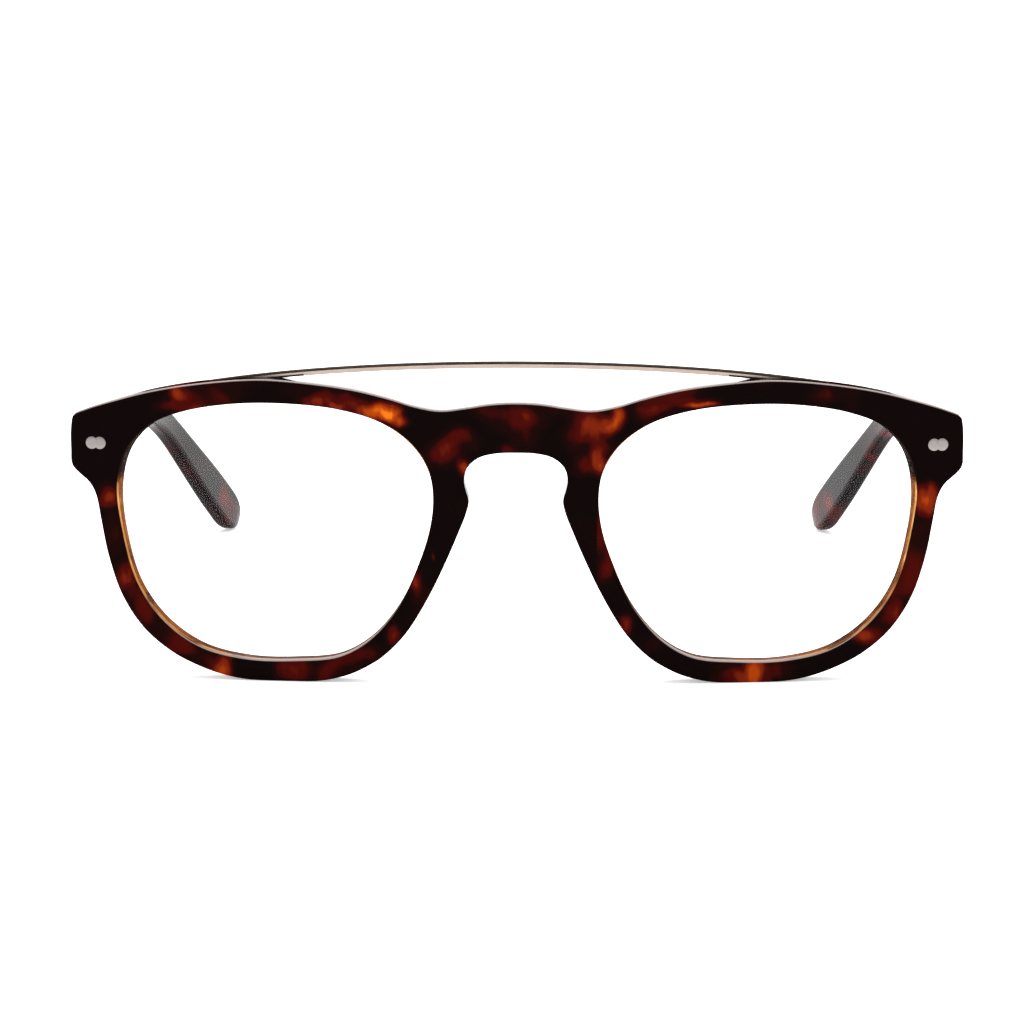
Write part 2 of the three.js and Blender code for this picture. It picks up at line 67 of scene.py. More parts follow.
# ---- Sizes ----
# They are the CAD part's, but the bar is 0.08 mm higher at its top and 0.08 mm taller, and the
# temples' long edges are rounded by more than their chamfers in CAD.
WRAP_RADIUS = 380
FRONT_THICKNESS = 4.2
FRONT_EDGE = 0.4
LENS_CENTRE = (38.6, 24.3)
LENS_RADIUS = 150
LENS_SAG = 1.4
LENS_THICKNESS = 2
GROOVE_DEPTH = 2
GROOVE_HALF_WIDTH = 0.95
GROOVE_CUT = 0.85
BAR_TOP = 51.43
BAR_ARC_RADIUS = 426
BAR_ARC_TIGHTENING = 1.03e-7
BAR_HALF_SPAN = 51.5
BAR_HEIGHT = 0.98
BAR_FRONT = 2.3
BAR_DEPTH = 1.1
SHIELD_POS = (67.35, 37.85)
SHIELD_DOT_RADIUS = 1
SHIELD_DOT_PITCH = 1.3
PAD_DEPTH = 4.6
PAD_FLARE = 0.06
PAD_TOP = (10.6, 34.1)
PAD_BOTTOM = (14.8, 14.2)
PAD_SHORTENING = 0.65
HINGE_STANDOFF = 2.2
HINGE_PLATE = {"from": 65, "to": 68.7, "half_height": 3.7}
KNUCKLE_RADIUS = 1.4
KNUCKLE_HEIGHT = 1.4
KNUCKLE_PITCH = 1.5
KNUCKLES = 5
SCREW_RADIUS = 0.6
SCREW_FIT = 0.07
SCREW_HEAD_RADIUS = 1.3
SCREW_HEAD_HEIGHT = 0.8
TEMPLE_LENGTH = 143.9
TEMPLE_THICKNESS = 3.4
TEMPLE_EDGE = 1.05
TEMPLE_HALF_HEIGHT = {"butt": 4.2, "neck": 2.4, "tip": 3.6}
NECK_AT = 98
TEMPLE_OFFSET = 1.8
BUTT_GAP = 0.35
SPLAY = math.radians(-1.5)
TUCK = math.radians(20.4)
DROOP = math.radians(33)
TUCK_FROM = 74
DROOP_FROM = 82
BEND_TO = 115
PADDLE_FROM = 104
PADDLE_TO = 134
TIP_ROUND = 7
LEAF_LENGTH = 12
LEAF_THICKNESS = 0.8
LEAF_HALF_HEIGHT = 3
RIVET_PLACES = {"front": (5.2, 2.05), "rear": (9.6, -2.05)}
RIVET_HEAD_RADIUS = 0.9

OUTER_HALF = [
    (0, 45.25), (4.01, 45.05), (8.01, 44.43), (12, 44), (15.99, 44.66), (19.98, 45.85),
    (25.98, 47.24), (33.99, 48.26), (41, 48.63), (50.01, 47.85), (58.01, 46.48), (65.01, 44.59),
    (69, 43.3), (71.04, 42.33), (71.5, 40.51), (71.58, 36.59), (71.44, 34.23), (70.25, 32.86),
    (68.64, 31.49), (67.57, 29.5), (66.78, 25.42), (65.69, 19.85), (63.48, 13.31), (59.98, 8.04),
    (55.42, 4.28), (51.5, 2.3), (48.5, 1.2), (45.5, 0.45), (43, 0.1), (40.5, 0), (37, 0),
    (33.8, 0), (31.5, 0.12), (29, 0.55), (26, 1.48), (23.6, 2.68), (21.27, 4.2), (17.54, 8.01),
    (13.86, 14), (10.96, 20.01), (9.18, 24.17), (7.84, 27.58), (7.44, 29.5), (7.91, 31.21),
    (8.17, 32.8), (7.71, 34.75), (5.97, 36.36), (3.37, 37.08), (0, 37.23),
]
OPENING = [
    (13.12, 30), (13.8, 34.18), (16.32, 38.23), (21.01, 41.73), (28.02, 43.9), (38, 44.78),
    (45.99, 44.45), (52.97, 43.2), (58.27, 41.06), (62.19, 37.15), (63.92, 31.4), (63.29, 24.49),
    (60.86, 15.45), (56.54, 9.41), (50.52, 5.36), (43, 3.63), (35, 3.56), (28.17, 4.36),
    (23.24, 7.15), (18.64, 12.53), (15.47, 19.23), (13.65, 25.02),
]
PAD = [
    (8.6, 31.3), (9.2, 33.3), (10.7, 34.1), (12.1, 33.1), (12.5, 30.2), (12.6, 26), (13.4, 21.6),
    (14.6, 17.6), (15.1, 15.3), (14.4, 14.2), (13.2, 15.8), (11.8, 19.5), (10.6, 23.4),
    (9.3, 27.6),
]

# Lighter patches of the front's acetate: along the front, height, half width, half height, strength.
FRONT_PATCHES = [
    (-54.3, 45.9, 1.3, 1.5, 0.41), (-53.5, 43.8, 2.8, 0.8, 0.32), (-34.8, 46.8, 3, 1.2, 0.10),
    (-31.5, 45.3, 2.6, 1.2, 0.49), (-28.7, 44.6, 1.5, 0.6, 0.44), (-26, 44.9, 2.4, 1.1, 0.29),
    (-21.4, 43.6, 3, 1.4, 1.02), (-19.8, 43.2, 1.5, 0.95, 0.97), (-18.3, 42.2, 1.5, 1, 0.69),
    (-10.8, 37.3, 2.5, 2, 0.35), (-8.5, 34.8, 1, 1.3, 0.60), (-8.2, 39.4, 2.2, 1.5, 0.26),
    (0.7, 42.7, 3.8, 2.4, 0.34), (1.8, 39.7, 2.2, 1.8, 0.21), (-1.2, 37.9, 1.5, 0.9, 0.30),
    (15.9, 42.8, 1.25, 2.1, 0.73), (14.7, 41.6, 1.5, 1.6, 0.57), (12, 41.2, 2.9, 2.2, 0.39),
    (9.4, 40.2, 2, 2.2, 0.24), (13, 37.4, 1.4, 2.2, 0.21), (12.9, 35.7, 1.2, 2, 0.64),
    (10.9, 35.3, 2, 1.7, 0.32), (22, 44.4, 2.2, 0.5, 0.16), (29.6, 44.7, 2.5, 0.55, 0.74),
    (29.2, 45.3, 2.8, 0.7, 0.26), (48.5, 46.3, 2, 1.5, 0.23), (-65.3, 29.2, 1.6, 1.9, 0.51),
    (-64.7, 23, 1.6, 3.2, 0.22), (-62.5, 16.4, 1.9, 2.2, 0.52), (-61.2, 13.3, 1.9, 2.2, 0.28),
    (-59.8, 10.9, 2, 1.6, 0.17), (-46.7, 2.3, 1.4, 2.3, 0.50), (-35.3, 1.9, 2.7, 1.9, 0.38),
    (-30.8, 2, 2.2, 1.8, 0.15), (-15.8, 16, 1, 1.7, 0.47), (-13, 20.6, 0.5, 0.8, 0.35),
    (-19.2, 8, 1.2, 1.5, 0.41), (-22.5, 5, 2, 1.5, 0.19), (65.4, 28.9, 2, 2, 0.70),
    (66.5, 30.5, 0.9, 1.2, 0.44), (63.5, 17.5, 1.6, 2.8, 0.12), (60.4, 11, 1.6, 1.4, 0.29),
    (55.6, 7.4, 2, 1.4, 0.52), (38.1, 2, 1.5, 2.2, 0.56), (35.8, 1.1, 2.2, 1.1, 0.30),
    (41.6, 2, 2.4, 1.7, 0.23), (17.3, 9.6, 1.2, 1.7, 0.54), (14.7, 18.8, 1.2, 2.2, 0.23),
    (21.8, 6.3, 1.6, 1.5, 0.12),
]
# Patches of the temples: along Y from the front, height, half length, half height, strength.
TEMPLE_PATCHES = [
    (18, 37, 5, 2.2, 0.31), (33, 34.5, 7, 1.8, 0.22), (49, 36, 5, 1.6, 0.33),
    (63, 33, 6, 1.7, 0.24), (79, 33, 5, 2, 0.32), (97, 31, 3.4, 1.5, 0.19),
    (110, 23.5, 2.6, 1.6, 0.17), (122, 15.5, 2.8, 1.7, 0.19), (134, 7, 2.2, 1.8, 0.21),
]
# Patches of the nose pads, given as the front's.
PAD_PATCHES = [(11.5, 32, 2.5, 3, 0.30), (-11.5, 24, 2, 3, 0.26)]


# ---- Bending and outlines ----
CURVE_STEPS = 16


def turns_of(sides, shift=0.0):
    """Angles once round a circle, in equal steps."""
    return [2 * math.pi * (k + shift) / sides for k in range(sides)]


def smoothstep(x, low, high):
    t = min(1, max(0, (x - low) / (high - low)))
    return t * t * (3 - 2 * t)


def wrap(along, depth, height):
    """A point of the flat front, on the wrapped front."""
    angle = along / WRAP_RADIUS
    radius = WRAP_RADIUS - depth
    return Vector((radius * math.sin(angle), FRONT_Y + WRAP_RADIUS - radius * math.cos(angle), height))


def catmull(p0, p1, p2, p3, t):
    """A centripetal Catmull-Rom point between p1 and p2."""
    knots = [0]
    for a, b in ((p0, p1), (p1, p2), (p2, p3)):
        knots.append(knots[-1] + max(1e-6, (b - a).length) ** 0.5)
    x = knots[1] + (knots[2] - knots[1]) * t

    def mix(a, b, ka, kb):
        return a * ((kb - x) / (kb - ka)) + b * ((x - ka) / (kb - ka))

    a1 = mix(p0, p1, knots[0], knots[1])
    a2 = mix(p1, p2, knots[1], knots[2])
    a3 = mix(p2, p3, knots[2], knots[3])
    b1 = mix(a1, a2, knots[0], knots[2])
    b2 = mix(a2, a3, knots[1], knots[3])
    return mix(b1, b2, knots[1], knots[2])


def smooth_loop(points, step):
    """A closed smooth outline through the points, evenly spaced and running anticlockwise."""
    pts = [Vector(p) for p in points]
    n = len(pts)
    fine = [catmull(pts[i - 1], pts[i], pts[(i + 1) % n], pts[(i + 2) % n], t / CURVE_STEPS)
            for i in range(n) for t in range(CURVE_STEPS)]
    return even_loop(fine, step)


def even_loop(fine, step):
    """The loop cut again into equal lengths close to the step, and turned anticlockwise."""
    lengths = [(fine[(i + 1) % len(fine)] - fine[i]).length for i in range(len(fine))]
    count = round(sum(lengths) / step)
    spacing = sum(lengths) / count
    loop, i, start = [], 0, 0
    for k in range(count):
        while start + lengths[i] < k * spacing:
            start += lengths[i]
            i += 1
        loop.append(fine[i].lerp(fine[(i + 1) % len(fine)], (k * spacing - start) / lengths[i]))
    area = sum(loop[k - 1].x * loop[k].y - loop[k].x * loop[k - 1].y for k in range(count))
    return loop if area > 0 else loop[::-1]


def offset(loop, distance):
    """The anticlockwise loop moved inward by a distance, or by one distance for each point."""
    distances = distance if isinstance(distance, list) else [distance] * len(loop)
    moved = []
    for i, p in enumerate(loop):
        along = (loop[(i + 1) % len(loop)] - loop[i - 1]).normalized()
        moved.append(p + Vector((-along.y, along.x)) * distances[i])
    return moved


def inside(p, loop):
    """Whether the point is inside the loop, by counting the edges to its right."""
    hit = False
    for i, b in enumerate(loop):
        a = loop[i - 1]
        if (a.y > p.y) != (b.y > p.y) and p.x < (b.x - a.x) * (p.y - a.y) / (b.y - a.y) + a.x:
            hit = not hit
    return hit


# ---- Meshes ----
class Build:
    """Points and faces of one piece, in millimetres, with a material index for each face."""

    def __init__(self):
        self.points = []
        self.faces = []
        self.paint = []

    def ring(self, points):
        first = len(self.points)
        self.points.extend(Vector(p) for p in points)
        return list(range(first, len(self.points)))

    def face(self, corners, paint=0):
        self.faces.append(tuple(corners))
        self.paint.append(paint)

    def skin(self, a, b, paint=0):
        """Faces between two rings; paint is one index, or one for each face."""
        count = len(a)
        paints = paint if isinstance(paint, list) else [paint] * count
        for i in range(count):
            j = (i + 1) % count
            self.face((a[i], a[j], b[j], b[i]), paints[i])

    def skins(self, rings):
        for a, b in zip(rings, rings[1:]):
            self.skin(a, b)

    def fan(self, ring, centre, paint=0):
        tip = self.ring([centre])[0]
        for i in range(len(ring)):
            self.face((ring[i], ring[(i + 1) % len(ring)], tip), paint)

    def turned(self, profile, place, turns):
        """A ring for each (radius, height) of the profile, with a point at each of the turns."""
        return [self.ring([place @ Vector((radius * math.cos(t), radius * math.sin(t), height))
                           for t in turns])
                for radius, height in profile]

    def lathe(self, profile, place, sides=32):
        """A turned form from (radius, height) points, with end caps unless the profile is closed."""
        rings = self.turned(profile, place, turns_of(sides))
        self.skins(rings)
        if profile[0] != profile[-1]:
            self.face(rings[0][::-1])
            self.face(rings[-1])

    def box(self, low, high, place, round_by=0.15):
        """A box with rounded edges."""
        shape = bmesh.new()
        size = Vector(high) - Vector(low)
        middle = (Vector(high) + Vector(low)) / 2
        scaled = Matrix.Translation(middle) @ Matrix.Diagonal((*size, 1))
        bmesh.ops.create_cube(shape, size=1, matrix=scaled)
        bmesh.ops.bevel(shape, geom=shape.edges[:], offset=round_by, segments=3, profile=0.5, affect="EDGES")
        first = len(self.points)
        self.points.extend(place @ v.co for v in shape.verts)
        for f in shape.faces:
            self.face([first + v.index for v in f.verts])
        shape.free()


def add_object(name, data):
    obj = bpy.data.objects.new(name, data)
    bpy.context.scene.collection.objects.link(obj)
    return obj


def piece(name, build, materials, body, replaced, side=1, crisp=True, smooth=True):
    """Makes the mesh, mirrored for the right side, ties it to its body, and hides the CAD nodes that it
    replaces.
    """
    mesh = bpy.data.meshes.new(name)
    mesh.from_pydata([Vector((p.x * side, p.y, p.z)) * MM for p in build.points], [], build.faces)
    mesh.polygons.foreach_set("material_index", build.paint)
    for material in materials:
        mesh.materials.append(material)
    shape = bmesh.new()
    shape.from_mesh(mesh)
    bmesh.ops.remove_doubles(shape, verts=shape.verts[:], dist=WELD_DISTANCE)
    bmesh.ops.recalc_face_normals(shape, faces=shape.faces[:])
    for f in shape.faces:
        f.smooth = smooth
    shape.to_mesh(mesh)
    shape.free()
    obj = add_object(name, mesh)
    if crisp:
        weighted = obj.modifiers.new("crisp_edges", "WEIGHTED_NORMAL")
        weighted.keep_sharp = True
    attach(obj, body)
    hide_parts(*replaced)
    return obj


# ---- Materials ----
class Nodes:
    """A node tree to which nodes are added one by one."""

    def __init__(self, tree):
        self.nodes = tree.nodes
        self.links = tree.links

    def feed(self, socket, value):
        if isinstance(value, bpy.types.NodeSocket):
            self.links.new(value, socket)
        else:
            socket.default_value = value

    def vector(self, operation, a, b=None, scale=None):
        node = self.nodes.new("ShaderNodeVectorMath")
        node.operation = operation
        self.feed(node.inputs[0], a)
        if b is not None:
            self.feed(node.inputs[1], b)
        if scale is not None:
            node.inputs["Scale"].default_value = scale
        return node.outputs["Value" if operation == "LENGTH" else "Vector"]

    def math(self, operation, a, b=0.0, clamp=False):
        node = self.nodes.new("ShaderNodeMath")
        node.operation = operation
        node.use_clamp = clamp
        self.feed(node.inputs[0], a)
        self.feed(node.inputs[1], b)
        return node.outputs[0]

    def times(self, a, b):
        return self.math("MULTIPLY", a, b)

    def rest_of(self, share):
        return self.math("SUBTRACT", 1.0, share)

    def remap(self, value, low, high, to_low, to_high):
        """A smooth step from to_low, where the value is low, to to_high, where it is high."""
        node = self.nodes.new("ShaderNodeMapRange")
        node.interpolation_type = "SMOOTHSTEP"
        for name, number in (("From Min", low), ("From Max", high), ("To Min", to_low), ("To Max", to_high)):
            node.inputs[name].default_value = number
        self.feed(node.inputs["Value"], value)
        return node.outputs["Result"]

    def split(self, value):
        """The X, Y and Z outputs of a vector."""
        node = self.nodes.new("ShaderNodeSeparateXYZ")
        self.feed(node.inputs[0], value)
        return node.outputs


class Paint(Nodes):
    """A procedural material, with textures laid in millimetres on the piece at rest."""

    def __init__(self, name):
        self.material = bpy.data.materials.new(name)
        self.material.use_nodes = True
        super().__init__(self.material.node_tree)
        self.shader = self.nodes["Principled BSDF"]
        coordinates = self.nodes.new("ShaderNodeTexCoord")
        self.place = self.vector("SCALE", coordinates.outputs["Object"], scale=1 / MM)

    def across_and_height(self):
        """The distance to either side of the middle, and the height."""
        place = self.split(self.place)
        return self.math("ABSOLUTE", place["X"]), place["Z"]

    def facing(self):
        """The X, Y and Z of the surface's normal."""
        return self.split(self.nodes.new("ShaderNodeNewGeometry").outputs["Normal"])

    def vary(self, noise, low, high):
        """A noise, mostly between 0.3 and 0.7, spread from low to high."""
        return self.remap(noise, 0.3, 0.7, low, high)

    def noise(self, scale, detail=2.0, distortion=0.0, stretch=(1, 1, 1), output="Fac"):
        node = self.nodes.new("ShaderNodeTexNoise")
        node.inputs["Scale"].default_value = scale
        node.inputs["Detail"].default_value = detail
        node.inputs["Distortion"].default_value = distortion
        self.feed(node.inputs["Vector"], self.vector("MULTIPLY", self.place, stretch))
        return node.outputs[output]

    def ramp(self, value, stops):
        node = self.nodes.new("ShaderNodeValToRGB")
        node.color_ramp.interpolation = "EASE"
        while len(node.color_ramp.elements) < len(stops):
            node.color_ramp.elements.new(0.5)
        for element, (position, colour) in zip(node.color_ramp.elements, stops):
            element.position = position
            element.color = (*colour, 1)
        self.feed(node.inputs["Fac"], value)
        return node.outputs["Color"]

    def mix(self, factor, colour, other):
        """The colour, turned into the other colour by the factor."""
        node = self.nodes.new("ShaderNodeMix")
        node.data_type = "RGBA"
        self.feed(node.inputs["Factor"], factor)
        self.feed(node.inputs[6], colour)
        node.inputs[7].default_value = (*other, 1)
        return node.outputs[2]

    def bump(self, height, strength, distance=0.0001):
        node = self.nodes.new("ShaderNodeBump")
        node.inputs["Strength"].default_value = strength
        node.inputs["Distance"].default_value = distance
        self.feed(node.inputs["Height"], height)
        self.links.new(node.outputs["Normal"], self.shader.inputs["Normal"])

    def set(self, **values):
        for name, value in values.items():
            self.feed(self.shader.inputs[name.replace("_", " ")], value)


# Colours of the acetate, from its black ground to its lightest patches.
TORTOISE = [
    (0.00, (0.0036, 0.0017, 0.0016)), (0.14, (0.0085, 0.0019, 0.0016)), (0.32, (0.050, 0.0026, 0.0018)),
    (0.50, (0.150, 0.0130, 0.0030)), (0.70, (0.330, 0.0400, 0.0020)), (1.00, (0.760, 0.1600, 0.0090)),
]
PATCH_GAIN = 0.86
PATCH_BLEND = 2.6       # the higher, the less two overlapping patches add up
PATCH_DRIFT = 2.4       # how far noise moves a patch's outline
PATCH_FADE = (0.1, 1.8)     # distances from its middle, in half widths, over which a patch fades
THROUGH_SHEET = 0.03    # how fast a patch of the front fades through its thickness

# Where the front's colour, painted light and shade, and shine change: distances from the middle, or heights,
# from one state to the other.
END_PIECE_ACROSS, END_PIECE_HEIGHT = (56, 60), (31, 33)
# Painted shade behind the nose pads.
PAD_SHADE_ACROSS, PAD_SHADE_HEIGHT = (12.6, 13.0), (33.1, 33.5)
BAR_SEAT_ACROSS = (36, 42)
LIT_WALL_HEIGHT, TEMPORAL_ACROSS = (33.5, 30.5), (22, 44)
NASAL_CORNER_ACROSS, NASAL_CORNER_HEIGHT = (22, 18), (33, 36)
LOW_WALL_HEIGHT, LIP_GLEAM_ACROSS = (5, 27), (52, 40)

# Reflections painted on the rounded top edges and on the openings' lips.
EDGE_GLEAM = (0.30, 0.245, 0.23)
LIP_GLEAM = (0.42, 0.33, 0.29)

# Painted light on the openings' walls, as colours from dark to lit: ahead of the lenses, and behind them,
# where the colours are darker as painted shade.
WALL_STOPS = (0.00, 0.30, 0.62, 1.00)
GOLD = [(0.016, 0.008, 0.006), (0.10, 0.030, 0.008), (0.42, 0.180, 0.050), (0.80, 0.46, 0.15)]
BROWN = [(0.014, 0.007, 0.005), (0.060, 0.014, 0.004), (0.21, 0.060, 0.014), (0.40, 0.15, 0.035)]


def patch_field(paint, patches, plane):
    """Soft blotches flowing into one another, which run through the thickness of the sheet."""
    drift = paint.vector("SUBTRACT", paint.noise(0.24, 1.2, output="Color"), (0.5, 0.5, 0.5))
    place = paint.vector("ADD", paint.place, paint.vector("SCALE", drift, scale=PATCH_DRIFT))
    field = 0.0
    for along, height, half_width, half_height, strength in patches:
        if plane == "front":
            centre = wrap(along, 0, height)
            shrink = (1 / half_width, THROUGH_SHEET, 1 / half_height)
        else:
            centre = Vector((0, FRONT_Y + along, height))
            shrink = (0.0, 1 / half_width, 1 / half_height)
        away = paint.vector("MULTIPLY", paint.vector("SUBTRACT", place, tuple(centre)), shrink)
        distance = paint.vector("LENGTH", away)
        blotch = paint.remap(distance, *PATCH_FADE, strength * PATCH_GAIN, 0.0)
        field = paint.math("ADD", paint.math("POWER", blotch, PATCH_BLEND), field)
    return paint.math("POWER", field, 1 / PATCH_BLEND)


def tortoise(name, patches, plane, gleam=False):
    """Polished acetate of the front or of the temples; gleam adds a painted reflection to its rounded top
    edges.
    """
    paint = Paint(name)
    across, height = paint.across_and_height()
    facing = paint.facing()
    field = patch_field(paint, patches, plane)
    grain = paint.vary(paint.noise(0.7, 2.0, stretch=(1.3, 0.3, 0.5)), 0.86, 1.10)
    haze = paint.remap(paint.noise(0.10, 1.5, 0.6), 0.44, 0.74, 0.0, 0.30)
    if plane == "front":
        end_piece = paint.times(paint.remap(across, *END_PIECE_ACROSS, 0, 1),
                                paint.remap(height, *END_PIECE_HEIGHT, 0, 1))
        haze = paint.times(haze, paint.rest_of(end_piece))
    glow = paint.math("ADD", paint.times(field, grain), haze, clamp=True)
    if plane == "front":
        # Painted shade: the rims behind the nose pads, which block the light from behind, are darkened
        # almost to black.
        pad_shade = paint.times(paint.remap(across, *PAD_SHADE_ACROSS, 1, 0),
                              paint.remap(height, *PAD_SHADE_HEIGHT, 1, 0))
        glow = paint.times(glow, paint.rest_of(paint.times(pad_shade, 0.85)))
        # The top of the front shines, but not where the bar lies on it or further out.
        upward = paint.remap(facing["Z"], 0.90, 0.97, 0.0, 1.0)
        under_bar = paint.times(upward, paint.remap(across, *BAR_SEAT_ACROSS, 0.0, 1.0))
        shine = paint.times(paint.remap(facing["Z"], 0.45, 0.8, 0.004, 0.10), paint.rest_of(under_bar))
    else:
        shine = paint.remap(paint.math("ABSOLUTE", facing["X"]), 0.2, 0.8, 0.015, 0.075)
    colour = paint.ramp(glow, TORTOISE)
    if gleam:
        # Painted reflection on the rounded top edges.
        rising = paint.remap(facing["Z"], 0.30, 0.62, 0.0, 1.0)
        rounded = paint.times(rising, paint.remap(facing["Z"], 0.93, 0.99, 1.0, 0.0))
        colour = paint.mix(rounded, colour, EDGE_GLEAM)
    polish = paint.vary(paint.noise(0.35, 3.0), 0.05, 0.10)
    paint.set(Base_Color=colour, Roughness=polish, Specular_IOR_Level=shine)
    return paint.material


def amber_wall(name, colours, pale):
    """An opening's wall, with the light that would come through the acetate painted in as amber; pale is how
    strongly a painted reflection lightens it where it faces up.
    """
    paint = Paint(name)
    across, height = paint.across_and_height()
    # Painted light: brighter low down, more so towards the temple, and at the nasal top corners, and a
    # little darker at the very bottom.
    below = paint.remap(height, *LIT_WALL_HEIGHT, 0.0, 1.0)
    temporal = paint.remap(across, *TEMPORAL_ACROSS, 0.35, 1.0)
    corner = paint.times(paint.remap(across, *NASAL_CORNER_ACROSS, 0, 0.85),
                         paint.remap(height, *NASAL_CORNER_HEIGHT, 0, 1))
    lit = paint.math("MAXIMUM", paint.times(below, temporal), corner)
    streaks = paint.remap(paint.noise(0.16, 3.0, 0.8), 0.36, 0.64, 0.55, 1.0)
    layers = paint.remap(paint.noise(0.5, 2.0, stretch=(0.3, 4.0, 0.3)), 0.35, 0.65, 0.75, 1.08)
    light = paint.times(paint.times(streaks, layers), lit)
    light = paint.times(light, paint.remap(height, *LOW_WALL_HEIGHT, 0.70, 1.0))
    colour = paint.ramp(light, list(zip(WALL_STOPS, colours)))
    # Painted reflection where the wall faces up, except towards the temple ends.
    rising = paint.remap(paint.facing()["Z"], 0.35, 0.75, 0.0, pale)
    gleaming = paint.times(rising, paint.remap(across, *LIP_GLEAM_ACROSS, 0.0, 1.0))
    colour = paint.mix(gleaming, colour, LIP_GLEAM)
    paint.set(Base_Color=colour, Roughness=0.4, Specular_IOR_Level=0.0)
    return paint.material


def metal(name, light, dark, rough, grain_stretch):
    """Satin metal with fine brushing along one direction."""
    paint = Paint(name)
    brushing = paint.noise(6.0, 3.0, stretch=grain_stretch)
    cloud = paint.vary(paint.noise(0.4, 2.0), 0.8, 1.0)
    shade = paint.times(paint.vary(brushing, 0.6, 1.0), cloud)
    paint.bump(brushing, 0.05, 0.00005)
    paint.set(Base_Color=paint.ramp(shade, [(0.4, dark), (1.0, light)]), Metallic=1.0,
              Roughness=paint.vary(brushing, rough * 0.8, rough * 1.25))
    return paint.material


def bar_edge_and_shade():
    """Dark metal for the brow bar's top edge, also used as painted shade on its underside and low on its
    front near its ends.
    """
    paint = Paint("bar_edge_and_shade")
    mottle = paint.noise(1.8, 3.0, stretch=(0.4, 2.0, 2.0))
    colour = paint.ramp(mottle, [(0.35, (0.020, 0.013, 0.009)), (0.75, (0.050, 0.034, 0.022))])
    paint.set(Base_Color=colour, Roughness=0.6, Specular_IOR_Level=0.06)
    return paint.material


GLASS_IOR = 1.5
COATED_SHARE = 0.10     # what the coating leaves of bare glass's reflection


def lens_glass():
    """Clear coated glass: mostly see-through, with a reflection that grows at grazing angles."""
    paint = Paint("lens_glass")
    fresnel = paint.nodes.new("ShaderNodeFresnel")
    fresnel.inputs["IOR"].default_value = GLASS_IOR
    coating = paint.noise(0.05, 1.0)
    tint = paint.ramp(coating, [(0.3, (0.90, 0.95, 1.0)), (0.7, (0.96, 1.0, 0.97))])
    reflection = paint.times(fresnel.outputs[0], COATED_SHARE)
    paint.set(Base_Color=tint, Metallic=1.0, Roughness=0.0, Alpha=reflection)
    return paint.material


def lens_edge():
    """The finely ground bevel of a lens."""
    paint = Paint("lens_edge")
    ground = paint.noise(3.0, 4.0)
    colour = paint.ramp(ground, [(0.3, (0.62, 0.64, 0.64)), (0.7, (0.86, 0.88, 0.88))])
    paint.bump(ground, 0.2)
    paint.set(Base_Color=colour, Roughness=0.35, Alpha=paint.vary(ground, 0.01, 0.04))
    return paint.material


ACETATE = tortoise("front_tortoise", FRONT_PATCHES, "front", gleam=True)
TEMPLE_ACETATE = tortoise("temple_tortoise", TEMPLE_PATCHES, "temple")
PAD_ACETATE = tortoise("pad_tortoise", PAD_PATCHES, "front")
AMBER_LIP = amber_wall("amber_lip", GOLD, 0.8)
AMBER_GROOVE = amber_wall("amber_groove", GOLD, 0.0)
AMBER_BACK = amber_wall("amber_back", BROWN, 0.15)
CHAMPAGNE = metal("champagne_metal", (0.415, 0.335, 0.29), (0.33, 0.26, 0.222), 0.30, (0.12, 3.0, 3.0))
BAR_EDGE_AND_SHADE_METAL = bar_edge_and_shade()
RIVET_METAL = metal("rivet_metal", (0.285, 0.262, 0.25), (0.205, 0.188, 0.18), 0.42, (1.0, 1.0, 3.0))
HINGE_STEEL = metal("hinge_steel", (0.70, 0.69, 0.67), (0.48, 0.47, 0.46), 0.30, (3.0, 0.5, 3.0))
LENS_GLASS = lens_glass()
LENS_EDGE = lens_edge()


# ---- The front ----
OUTLINE_STEP = 0.8
CORNER_STEPS = 5
BACK_ROUNDER = 2        # low down, an opening's back edge is 1 + this many times as round
BACK_ROUNDER_BETWEEN = (24, 32)
BACK_TAPER = 0.07       # how far an opening widens at its back edge for each time
FACE_SPACING = 2.2      # between the points inside the front's faces
FACE_MARGIN = 1.0       # from those points to the edges
FACE_REACH = (72, 50)   # the front's half width and its height, rounded up
LIP_CORNER = (22, 33)   # nearer the middle and higher than this, the front edge gets the walls' painted light too
ACETATE_PAINT, LIP_PAINT, BACK_PAINT, GROOVE_PAINT = range(4)
outer_left = [(-x, z) for x, z in OUTER_HALF[1:-1]][::-1]
OUTER_LOOP = [Vector((p.x, max(0, p.y))) for p in smooth_loop(OUTER_HALF + outer_left, OUTLINE_STEP)]
OPENING_LOOP = smooth_loop(OPENING, OUTLINE_STEP)
MIRROR_LOOP = [Vector((-p.x, p.y)) for p in OPENING_LOOP][::-1]


def dome(along, height):
    """How far the lens surface stands ahead of its edge at a point of the left lens."""
    dx = abs(along) - LENS_CENTRE[0]
    dz = height - LENS_CENTRE[1]
    return LENS_SAG - (dx * dx + dz * dz) / (2 * LENS_RADIUS) + dx * dx / (2 * WRAP_RADIUS)


def edge_arc():
    """(inset, depth) pairs of the rounded front edge, from the face to the wall."""
    turns = [math.pi / 2 * k / CORNER_STEPS for k in range(CORNER_STEPS + 1)]
    return [(FRONT_EDGE * (1 - math.sin(t)), FRONT_EDGE * (1 - math.cos(t))) for t in turns]


def wall_profile(grooved):
    """The entries for lay_ring, from the front face over the wall to the back face."""
    arc = edge_arc()
    if not grooved:
        return arc + [(inset, FRONT_THICKNESS - depth) for inset, depth in reversed(arc)]
    groove = [(0, "groove", -GROOVE_HALF_WIDTH), (GROOVE_CUT, "groove", 0),
              (0, "groove", GROOVE_HALF_WIDTH)]
    return arc + groove + [(inset, "back", depth) for inset, depth in reversed(arc)]


def back_rounding(height):
    """How many times rounder than the front edge an opening's back edge is at a height."""
    return 1 + BACK_ROUNDER * (1 - smoothstep(height, *BACK_ROUNDER_BETWEEN))


def back_inset(loop, distance):
    """An opening's loop at its rounded back edge, which also opens out a little where it is rounder."""
    rounder = [back_rounding(p.y) for p in loop]
    return offset(loop, [distance * times - BACK_TAPER * (times - 1) for times in rounder])


